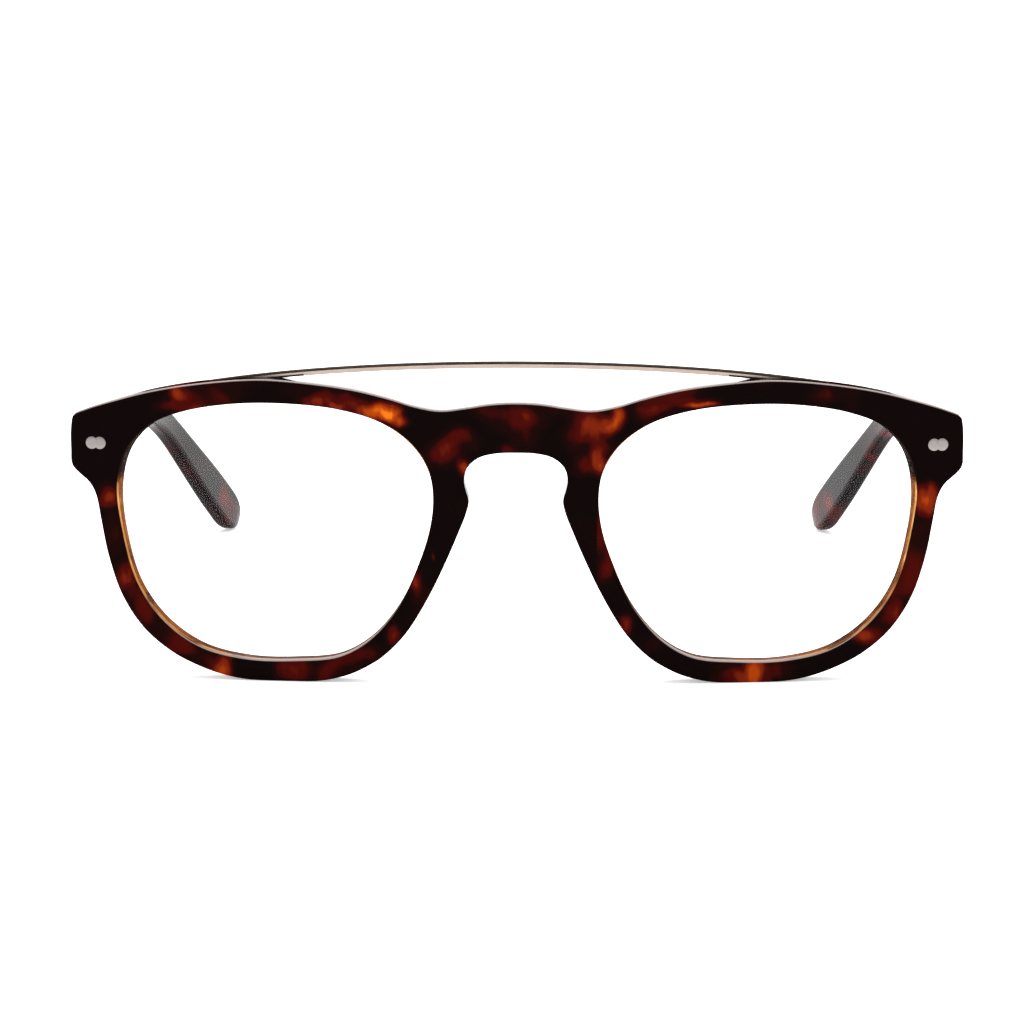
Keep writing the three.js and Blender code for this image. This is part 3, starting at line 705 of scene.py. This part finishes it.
def lay_ring(build, loop, entry, into):
    """A ring of the wall: the loop moved into the material, at a depth or along the groove."""
    if entry[1] == "back":
        moved = back_inset(loop, entry[0] * into)
        return build.ring([wrap(p.x, FRONT_THICKNESS - entry[2] * back_rounding(q.y), p.y)
                           for p, q in zip(moved, loop)])
    moved = offset(loop, entry[0] * into)
    if len(entry) == 2:
        return build.ring([wrap(p.x, entry[1], p.y) for p in moved])
    return build.ring([wrap(p.x, GROOVE_DEPTH + entry[2] - dome(q.x, q.y), p.y)
                       for p, q in zip(moved, loop)])


def face_mesh(loops):
    """Triangles of the front's face between its inset loops, with inner points to bend over."""
    edges, points = [], []
    for loop in loops:
        first = len(points)
        points.extend(loop)
        edges.extend((first + i, first + (i + 1) % len(loop)) for i in range(len(loop)))
    tree = KDTree(len(points))
    for i, p in enumerate(points):
        tree.insert((p.x, p.y, 0), i)
    tree.balance()
    columns, rows = (int(reach / FACE_SPACING) for reach in FACE_REACH)
    for row in range(rows):
        for column in range(-columns, columns + 1):
            p = Vector(((column + 0.5 * (row % 2)) * FACE_SPACING, (row + 0.5) * FACE_SPACING))
            if tree.find((p.x, p.y, 0))[2] > FACE_MARGIN and solid_at(p, loops):
                points.append(p)
    out_points, _, out_faces, origin, _, _ = delaunay_2d_cdt(points, edges, [], 0, 1e-5)
    source = [ids[0] for ids in origin]
    triangles = []
    for f in out_faces:
        middle = sum((out_points[i] for i in f), Vector((0, 0))) / 3
        if solid_at(middle, loops):
            triangles.append([source[i] for i in f])
    return points, triangles


def solid_at(p, loops):
    """Whether the front has material at a point, given its outline and its two openings."""
    return inside(p, loops[0]) and not inside(p, loops[1]) and not inside(p, loops[2])


def wall_paint(loop, k):
    """Material indices along the k-th strip of an opening's wall, counted from the front face."""
    if CORNER_STEPS + 2 <= k <= CORNER_STEPS + 3:
        return BACK_PAINT
    if k == CORNER_STEPS + 1:
        return GROOVE_PAINT
    if CORNER_STEPS - 2 <= k <= CORNER_STEPS:
        return LIP_PAINT
    if k != CORNER_STEPS - 3:
        return ACETATE_PAINT
    across, height = LIP_CORNER
    return [LIP_PAINT if abs(p.x) < across and p.y > height else ACETATE_PAINT for p in loop]


def front_frame():
    build = Build()
    loops = [(OUTER_LOOP, 1, False), (OPENING_LOOP, -1, True), (MIRROR_LOOP, -1, True)]
    first_rings, last_rings, front_loops, back_loops = [], [], [], []
    for loop, into, grooved in loops:
        profile = wall_profile(grooved)
        rings = [lay_ring(build, loop, entry, into) for entry in profile]
        for k, (a, b) in enumerate(zip(rings, rings[1:])):
            build.skin(a, b, wall_paint(loop, k) if grooved else ACETATE_PAINT)
        first_rings.extend(rings[0])
        last_rings.extend(rings[-1])
        inset = profile[0][0] * into
        front_loops.append(offset(loop, inset))
        back_loops.append(back_inset(loop, inset) if grooved else offset(loop, inset))
    faces = ((first_rings, front_loops, 0), (last_rings, back_loops, FRONT_THICKNESS))
    for edge_rings, face_loops, depth in faces:
        points, triangles = face_mesh(face_loops)
        ids = edge_rings + build.ring([wrap(p.x, depth, p.y) for p in points[len(edge_rings):]])
        for a, b, c in triangles:
            build.face((ids[a], ids[b], ids[c]))
    return piece("front_acetate", build, [ACETATE, AMBER_LIP, AMBER_BACK, AMBER_GROOVE], "front",
                 ["front_frame"])


# ---- Lenses ----
def lens(name, side):
    """A meniscus lens: domed faces and a bevel that enters the groove."""
    build = Build()
    face_gap, tip_reach, ring_count = 0.12, 0.6, 16
    centre = Vector(LENS_CENTRE)
    half = LENS_THICKNESS / 2
    rim = offset(OPENING_LOOP, face_gap)

    def on_face(p, level):
        return wrap(p.x, GROOVE_DEPTH + level - dome(p.x, p.y), p.y)

    faces = []
    for level in (-half, half):
        rings = []
        for k in range(ring_count):
            share = 1 - k / ring_count
            rings.append(build.ring([on_face(centre.lerp(p, share), level) for p in rim]))
        build.skins(rings)
        build.fan(rings[-1], on_face(centre, level))
        faces.append(rings[0])
    tip = offset(OPENING_LOOP, -tip_reach)
    edge = build.ring([wrap(p.x, GROOVE_DEPTH - dome(q.x, q.y), p.y) for p, q in zip(tip, rim)])
    build.skin(faces[0], edge, 1)
    build.skin(edge, faces[1], 1)
    return piece(f"lens_{name}_glass", build, [LENS_GLASS, LENS_EDGE], "front",
                 [f"lens_{name}"], side, crisp=False)


# ---- Brow bar ----
def brow_bar():
    """A thin flat bar, arched in front view and wrapped in plan, with a dark top edge and painted shade on
    its underside and low on its front near its ends.
    """
    build = Build()
    chamfer, edge, strip = 0.36, 0.04, 0.32
    lead, drop, round_off = chamfer * 0.35, chamfer * 0.3, edge * 0.3
    top, bottom = 0, -BAR_HEIGHT
    near, far = BAR_FRONT, BAR_FRONT + BAR_DEPTH
    outline = [
        (near + round_off, bottom + round_off), (near, bottom + edge), (near, bottom + strip),
        (near, top - chamfer), (near + lead, top - drop), (near + chamfer, top),
        (far - edge, top), (far - round_off, top - round_off), (far, top - edge),
        (far, bottom + edge), (far - round_off, bottom + round_off), (far - edge, bottom),
        (near + edge, bottom),
    ]
    # Faces 3 to 6 are the dark top edge; face 11, the underside, is painted shade, and so, near the ends,
    # are faces 0, 1 and 12 low on the front.
    dark_faces = {3, 4, 5, 6, 11}
    shade_near_ends = {0, 1, 12}
    dark_share = 0.66
    stations = 140
    rings = []
    for k in range(stations + 1):
        s = -BAR_HALF_SPAN + 2 * BAR_HALF_SPAN * k / stations
        height = BAR_TOP - s * s / (2 * BAR_ARC_RADIUS) - BAR_ARC_TIGHTENING * s ** 4
        rings.append(build.ring([wrap(s, depth, height + z) for depth, z in outline]))
    for k, (a, b) in enumerate(zip(rings, rings[1:])):
        near_end = abs(2 * k + 1 - stations) / stations > dark_share
        dark = dark_faces | shade_near_ends if near_end else dark_faces
        build.skin(a, b, [int(i in dark) for i in range(len(outline))])
    build.face(rings[0][::-1])
    build.face(rings[-1])
    return piece("brow_bar_metal", build, [CHAMPAGNE, BAR_EDGE_AND_SHADE_METAL], "front",
                 ["brow_bar"], crisp=False, smooth=False)


# ---- Rivet shields and nose pads ----
def rivet_shield(name, side):
    """Two overlapping flush dots, the outer one a hair prouder."""
    build = Build()
    sides, foot, edge, crown = 40, 0.45, 0.05, 0.006
    radius = SHIELD_DOT_RADIUS
    for dot, proud in ((-1, 0.015), (1, 0.04)):
        centre = Vector((SHIELD_POS[0] + dot * SHIELD_DOT_PITCH / 2, SHIELD_POS[1]))
        profile = [(radius, foot), (radius, edge - proud), (radius - edge * 0.3, edge * 0.3 - proud),
                   (radius - edge, -proud), (radius * 0.5, -proud - 0.004)]
        rings = [build.ring([wrap(centre.x + reach * math.cos(t), depth, centre.y + reach * math.sin(t))
                             for t in turns_of(sides)])
                 for reach, depth in profile]
        build.skins(rings)
        build.fan(rings[-1], wrap(centre.x, -proud - crown, centre.y))
        build.face(rings[0][::-1])
    return piece(f"rivet_dots_{name}", build, [RIVET_METAL], "front",
                 [f"rivet_shield_{name}"], side)


def nose_pad(name, side):
    """A drop-shaped acetate pad, flat against the rim's back and domed towards the nose."""
    build = Build()
    loop = smooth_loop(PAD, 0.6)
    levels, sunk, crown = 14, 0.04, 0.12
    lean = (PAD_BOTTOM[0] - PAD_TOP[0]) / (PAD_TOP[1] - PAD_BOTTOM[1])
    middle_height = (PAD_TOP[1] + PAD_BOTTOM[1]) / 2
    rings = []
    for k in range(levels):
        turn = math.pi / 2 * k / levels
        shrink = math.cos(turn) ** 0.8
        depth = PAD_DEPTH * math.sin(turn)
        ring = []
        for p in loop:
            spine = PAD_TOP[0] + (PAD_TOP[1] - p.y) * lean
            x = spine + (p.x - spine) * shrink + PAD_FLARE * depth
            z = middle_height + (p.y - middle_height) * (1 - PAD_SHORTENING * (1 - shrink))
            ring.append(wrap(x, FRONT_THICKNESS - sunk + depth, z))
        rings.append(ring)
    made = [build.ring(ring) for ring in rings]
    build.skins(made)
    half = len(loop) // 2
    build.fan(made[-1], (rings[-1][0] + rings[-1][half]) / 2 + Vector((0, crown, 0)))
    build.fan(made[0], sum(rings[0], Vector((0, 0, 0))) / len(loop))
    return piece(f"nose_pad_{name}_acetate", build, [PAD_ACETATE], "front",
                 [f"nose_pad_{name}"], side)


# ---- Temples ----
HINGE_ANGLE = math.asin(HINGE.x / (WRAP_RADIUS - FRONT_THICKNESS - HINGE_STANDOFF))
BUTT_SLOPE = math.tan(HINGE_ANGLE)
START_X = TEMPLE_OFFSET + TEMPLE_THICKNESS / 2
START_Y = (BUTT_GAP - HINGE_STANDOFF) / math.cos(HINGE_ANGLE) + START_X * BUTT_SLOPE
FROM_HINGE = Matrix.Translation(HINGE) @ Matrix.Rotation(-TILT, 4, "X")
FINE = 0.25
BUTT_ROUND = 0.8


def build_plan():
    """The temple's middle line in plan, in the hinge's frame, every FINE millimetres."""
    plan = []
    x, y, u = START_X, START_Y, 0
    while u < TEMPLE_LENGTH + 2:
        turn = SPLAY + TUCK * smoothstep(u, TUCK_FROM, BEND_TO)
        plan.append((x, y, turn))
        x -= FINE * math.sin(turn)
        y += FINE * math.cos(turn)
        u += FINE
    return plan


PLAN = build_plan()


def bend_temple(along, height, sideways):
    """A point of the straight temple, on the bent temple in the part's frame."""
    at = min(len(PLAN) - 2, max(0, along / FINE))
    i = int(at)
    x, y, turn = (a + (b - a) * (at - i) for a, b in zip(PLAN[i], PLAN[i + 1]))
    before = min(0, along)
    point = Vector((x + sideways * math.cos(turn) - before * math.sin(turn),
                    y + sideways * math.sin(turn) + before * math.cos(turn), height))
    fade = 1 - smoothstep(point.y - START_Y, 0.7, 3)
    point.y += fade * ((point.x - START_X) * (BUTT_SLOPE - math.tan(SPLAY)) - height * math.tan(TILT))
    return FROM_HINGE @ point


def half_height(s):
    """Half the temple's height at a distance along it: a waist, then the paddle and its round tip."""
    butt, neck, tip = (TEMPLE_HALF_HEIGHT[key] for key in ("butt", "neck", "tip"))
    waist = butt - (butt - neck) * smoothstep(s, 0, NECK_AT)
    paddle = (tip - neck) * smoothstep(s, PADDLE_FROM, PADDLE_TO)
    cap = max(0, (s - (TEMPLE_LENGTH - TIP_ROUND)) / TIP_ROUND)
    return (waist + paddle) * math.sqrt(max(0.01, 1 - cap ** 2.2))


def section(height, thickness, edge, steps=5):
    """A rounded rectangle of (up, sideways) points."""
    edge = min(edge, height * 0.95, thickness * 0.95)
    points = []
    for corner in range(4):
        up = (height - edge) * (1 if corner in (0, 3) else -1)
        out = (thickness - edge) * (1 if corner in (0, 1) else -1)
        for k in range(steps + 1):
            turn = math.pi / 2 * (corner + k / steps)
            points.append((up + edge * math.cos(turn), out + edge * math.sin(turn)))
    return points


def temple_stations():
    """Distances along the temple, closer together at its butt and at its tip."""
    body_end = TEMPLE_LENGTH - TIP_ROUND
    step, tip_steps = 1.6, 14
    stations = [0, 0.12, 0.35, BUTT_ROUND] + [step + step * k for k in range(int((body_end - 2) / step))]
    turns = [math.pi / 2 * k / tip_steps for k in range(tip_steps + 1)]
    return stations + [body_end + TIP_ROUND * math.sin(t) for t in turns]


def side_line(stations):
    """(along, height, droop) of the temple's middle line in side view at each station."""
    line = []
    u, v, s = 0, 0, 0
    for station in stations:
        while s < station - 1e-9:
            step = min(FINE, station - s)
            drop = DROOP * smoothstep(s, DROOP_FROM, BEND_TO)
            u += step * math.cos(drop)
            v -= step * math.sin(drop)
            s += step
        line.append((u, v, DROOP * smoothstep(s, DROOP_FROM, BEND_TO)))
    return line


def temple(name, side):
    """A temple lofted along its side line and bent in plan, with rounded long edges."""
    build = Build()
    stations = temple_stations()
    rings = []
    for s, (u, v, drop) in zip(stations, side_line(stations)):
        butt = 0.25 * max(0, 1 - s / BUTT_ROUND) ** 2
        cap = max(0, (s - (TEMPLE_LENGTH - TIP_ROUND)) / TIP_ROUND)
        thick = TEMPLE_THICKNESS / 2 * math.sqrt(max(0.02, 1 - 0.8 * cap ** 4)) - butt
        outline = section(half_height(s) - butt, thick, TEMPLE_EDGE)
        rings.append(build.ring([bend_temple(u + a * math.sin(drop), v + a * math.cos(drop), w)
                                 for a, w in outline]))
    build.skins(rings)
    for ring in (rings[0], rings[-1]):
        build.fan(ring, sum((build.points[i] for i in ring), Vector((0, 0, 0))) / len(ring))
    return piece(f"temple_{name}_acetate", build, [TEMPLE_ACETATE], f"temple_{name}",
                 [f"temple_{name}"], side)


# ---- Hinges ----
KNUCKLE_EDGE = 0.12
WEB_GAP = 0.25          # from the screw to the webs that carry the knuckles


def knuckle_heights(k):
    """The k-th knuckle's bottom and top, measured along the screw from the hinge's middle."""
    middle = (k - (KNUCKLES - 1) / 2) * KNUCKLE_PITCH
    return middle - KNUCKLE_HEIGHT / 2, middle + KNUCKLE_HEIGHT / 2


def barrel(build, k):
    """The k-th knuckle: a tube round the screw."""
    low, high = knuckle_heights(k)
    hole, edge = SCREW_RADIUS + SCREW_FIT, KNUCKLE_EDGE
    round_off = edge * 0.3
    outer = KNUCKLE_RADIUS
    build.lathe([
        (hole, low), (outer - edge, low), (outer - round_off, low + round_off), (outer, low + edge),
        (outer, high - edge), (outer - round_off, high - round_off), (outer - edge, high), (hole, high),
        (hole, low),
    ], FROM_HINGE)


def front_hinge(name, side):
    """Leaf on the front's back, with the ends of the two rivet posts, and three knuckles."""
    build = Build()
    middle = (HINGE_PLATE["from"] + HINGE_PLATE["to"]) / 2
    half = (HINGE_PLATE["to"] - HINGE_PLATE["from"]) / 2
    proud, sunk = 0.22, 0.6
    angle = middle / WRAP_RADIUS
    on_back = Matrix.Translation(wrap(middle, FRONT_THICKNESS, HINGE.z)) @ Matrix.Rotation(angle, 4, "Z")
    tall = HINGE_PLATE["half_height"]
    build.box((-half, -sunk, -tall), (half, proud, tall), on_back)
    post = [(0.02, -0.2), (0.5, -0.2), (0.5, 0.02), (0.4, 0.1), (0.2, 0.14), (0.02, 0.15)]
    backward = Matrix.Rotation(-math.pi / 2, 4, "X")
    for dot in (-1, 1):
        x = SHIELD_POS[0] + dot * SHIELD_DOT_PITCH / 2 - middle
        foot = Matrix.Translation((x, proud, SHIELD_POS[1] - HINGE.z))
        build.lathe(post, on_back @ foot @ backward, 24)
    web = FROM_HINGE @ Matrix.Rotation(HINGE_ANGLE, 4, "Z")
    web_from, web_to, web_sunk = -0.9, 0.8, 0.1
    for k in range(0, KNUCKLES, 2):
        barrel(build, k)
        low, high = knuckle_heights(k)
        build.box((web_from, -HINGE_STANDOFF - web_sunk, low), (web_to, -SCREW_RADIUS - WEB_GAP, high),
                  web, KNUCKLE_EDGE)
    return piece(f"front_hinge_{name}_steel", build, [HINGE_STEEL], "front",
                 [f"front_hinge_{name}"], side)


def temple_hinge(name, side):
    """Leaf on the temple's inner face and two knuckles."""
    build = Build()
    inner = TEMPLE_OFFSET
    sunk, start = 0.16, -0.9
    web_start, web_sunk = -0.5, 0.3
    place = FROM_HINGE @ Matrix.Rotation(SPLAY, 4, "Z")
    build.box((inner - sunk, start, -LEAF_HALF_HEIGHT),
              (inner + LEAF_THICKNESS, start + LEAF_LENGTH, LEAF_HALF_HEIGHT), place)
    for k in range(1, KNUCKLES, 2):
        barrel(build, k)
        low, high = knuckle_heights(k)
        build.box((SCREW_RADIUS + WEB_GAP, web_start, low), (inner + web_sunk, KNUCKLE_RADIUS, high),
                  FROM_HINGE, KNUCKLE_EDGE)
    return piece(f"temple_hinge_{name}_steel", build, [HINGE_STEEL], f"temple_{name}",
                 [f"temple_hinge_{name}"], side)


def hinge_screw(name, side):
    """A cheese-head screw with a slot across its head."""
    build = Build()
    gap, tail, lead, sides = 0.15, 0.2, 0.15, 36
    edge, slot_half, slot_depth, lip_steps = 0.16, 0.17, 0.35, 18
    top = knuckle_heights(KNUCKLES - 1)[1] + gap
    bottom = knuckle_heights(0)[0] - tail
    head = top + SCREW_HEAD_HEIGHT
    slot_floor = head - slot_depth
    profile = [(0.02, bottom), (SCREW_RADIUS - lead, bottom), (SCREW_RADIUS, bottom + lead),
               (SCREW_RADIUS, top), (SCREW_HEAD_RADIUS, top), (SCREW_HEAD_RADIUS, slot_floor)]
    rings = build.turned(profile, FROM_HINGE, turns_of(sides, 0.5))
    build.skins(rings)
    build.face(rings[0][::-1])
    build.fan(rings[-1], FROM_HINGE @ Vector((0, 0, slot_floor)))
    reach = math.asin(slot_half / SCREW_HEAD_RADIUS)
    lip = [(SCREW_HEAD_RADIUS, slot_floor), (SCREW_HEAD_RADIUS, head - edge),
           (SCREW_HEAD_RADIUS - edge * 0.3, head - edge * 0.3), (SCREW_HEAD_RADIUS - edge, head)]
    for start in (reach, math.pi + reach):
        turns = [start + (math.pi - 2 * reach) * k / lip_steps for k in range(lip_steps + 1)]
        lips = []
        for radius, height in lip:
            ring = []
            for t in turns:
                y = radius * math.sin(t)
                y = max(slot_half, y) if start < math.pi else min(-slot_half, y)
                ring.append(FROM_HINGE @ Vector((radius * math.cos(t), y, height)))
            lips.append(build.ring(ring))
        build.skins(lips)
        build.face(lips[0][::-1])
        build.face(lips[-1])
    return piece(f"hinge_screw_{name}_steel", build, [HINGE_STEEL], "front",
                 [f"hinge_screw_{name}"], side)


def temple_rivet(name, end, place, side):
    """Domed head on the hinge leaf and a flush dot on the temple's outer face."""
    build = Build()
    along, height = place
    sunk, proud = 0.16, 0.02
    inner, outer = -TEMPLE_THICKNESS / 2 - sunk, TEMPLE_THICKNESS / 2 + proud
    foot = FROM_HINGE.inverted() @ bend_temple(along, height, 0)
    outward = Matrix.Rotation(SPLAY, 4, "Z") @ Matrix.Rotation(math.pi / 2, 4, "Y")
    build.lathe([
        (0.02, inner - 0.34), (0.3, inner - 0.3), (0.62, inner - 0.18), (RIVET_HEAD_RADIUS, inner),
        (0.55, inner + 0.02), (0.55, 0), (0.85, outer - 0.3), (0.85, outer - 0.04), (0.8, outer),
        (0.02, outer + 0.01),
    ], FROM_HINGE @ Matrix.Translation(foot) @ outward, 28)
    return piece(f"temple_rivet_{name}_{end}_metal", build, [RIVET_METAL], f"temple_{name}",
                 [f"temple_rivet_{name}_{end}"], side)


# ---- Stage ----
SENSOR_WIDTH = 36
FOCAL_LENGTH = 135.54
CAMERA_PLACE = (8.2, FRONT_Y - 600, 131.4)
CAMERA_TILT = math.radians(80.21)
CAMERA_TURN = math.radians(0.84)
FLOOR_REACH = 12        # metres
FLOOR_GLOW = 0.42
SOFTBOX_SIZE = (1.6, 1.2)
SOFTBOX_PLACE = (0.1, 0.35, 1.3)
SOFTBOX_TILT = math.radians(-12)
SOFTBOX_POWER = 24


def camera():
    """Long lens, a little above the eyeglasses and to their left, looking slightly down."""
    data = bpy.data.cameras.new("camera")
    data.sensor_width = SENSOR_WIDTH
    data.lens = FOCAL_LENGTH
    data.clip_end = 50
    obj = add_object("camera", data)
    obj.location = Vector(CAMERA_PLACE) * MM
    obj.rotation_euler = (CAMERA_TILT, 0, CAMERA_TURN)
    bpy.context.scene.camera = obj


def floor():
    """Pale paper, which glows a little so that it stays white."""
    paint = Paint("floor_paper")
    colour = paint.ramp(paint.noise(0.02, 3.0), [(0.3, (0.93, 0.93, 0.93)), (0.7, (0.95, 0.95, 0.95))])
    paint.set(Base_Color=colour, Roughness=0.9, Specular_IOR_Level=0.0,
              Emission_Color=(1, 1, 1, 1), Emission_Strength=FLOOR_GLOW)
    paint.material.cycles.emission_sampling = "NONE"
    mesh = bpy.data.meshes.new("floor")
    corners = [(-1, -1), (1, -1), (1, 1), (-1, 1)]
    mesh.from_pydata([(x * FLOOR_REACH, y * FLOOR_REACH, 0) for x, y in corners], [], [(0, 1, 2, 3)])
    mesh.materials.append(paint.material)
    add_object("floor", mesh)


def studio():
    """An even white surround, brighter low down behind the eyeglasses, and a large soft light above."""
    world = bpy.data.worlds.new("studio")
    bpy.context.scene.world = world
    world.use_nodes = True
    sky = Nodes(world.node_tree)
    where = sky.split(sky.nodes.new("ShaderNodeTexCoord").outputs["Generated"])
    room = sky.remap(where["Y"], -0.9, 0.4, 0.85, 1.15)
    backdrop = sky.times(sky.remap(where["Y"], 0.55, 0.85, 0, 1.9), sky.remap(where["Z"], 0.50, 0.30, 0, 1))
    background = sky.nodes["Background"]
    sky.feed(background.inputs["Strength"], sky.math("ADD", room, backdrop))
    background.inputs["Color"].default_value = (1, 1, 1, 1)
    light = bpy.data.lights.new("softbox", "AREA")
    light.shape = "RECTANGLE"
    light.size, light.size_y = SOFTBOX_SIZE
    light.energy = SOFTBOX_POWER
    obj = add_object("softbox", light)
    obj.location = SOFTBOX_PLACE
    obj.rotation_euler = (SOFTBOX_TILT, 0, 0)
    bpy.context.scene.view_settings.view_transform = "Standard"


camera()
floor()
studio()
front_frame()
brow_bar()
for side_name, side_sign in SIDES.items():
    lens(side_name, side_sign)
    rivet_shield(side_name, side_sign)
    nose_pad(side_name, side_sign)
    front_hinge(side_name, side_sign)
    hinge_screw(side_name, side_sign)
    temple_hinge(side_name, side_sign)
    temple(side_name, side_sign)
    for end_name, rivet_place in RIVET_PLACES.items():
        temple_rivet(side_name, end_name, rivet_place, side_sign)
    wire = frame["nodes"][f"core_wire_{side_name}"]
    wire.data.materials.clear()
    wire.data.materials.append(HINGE_STEEL)
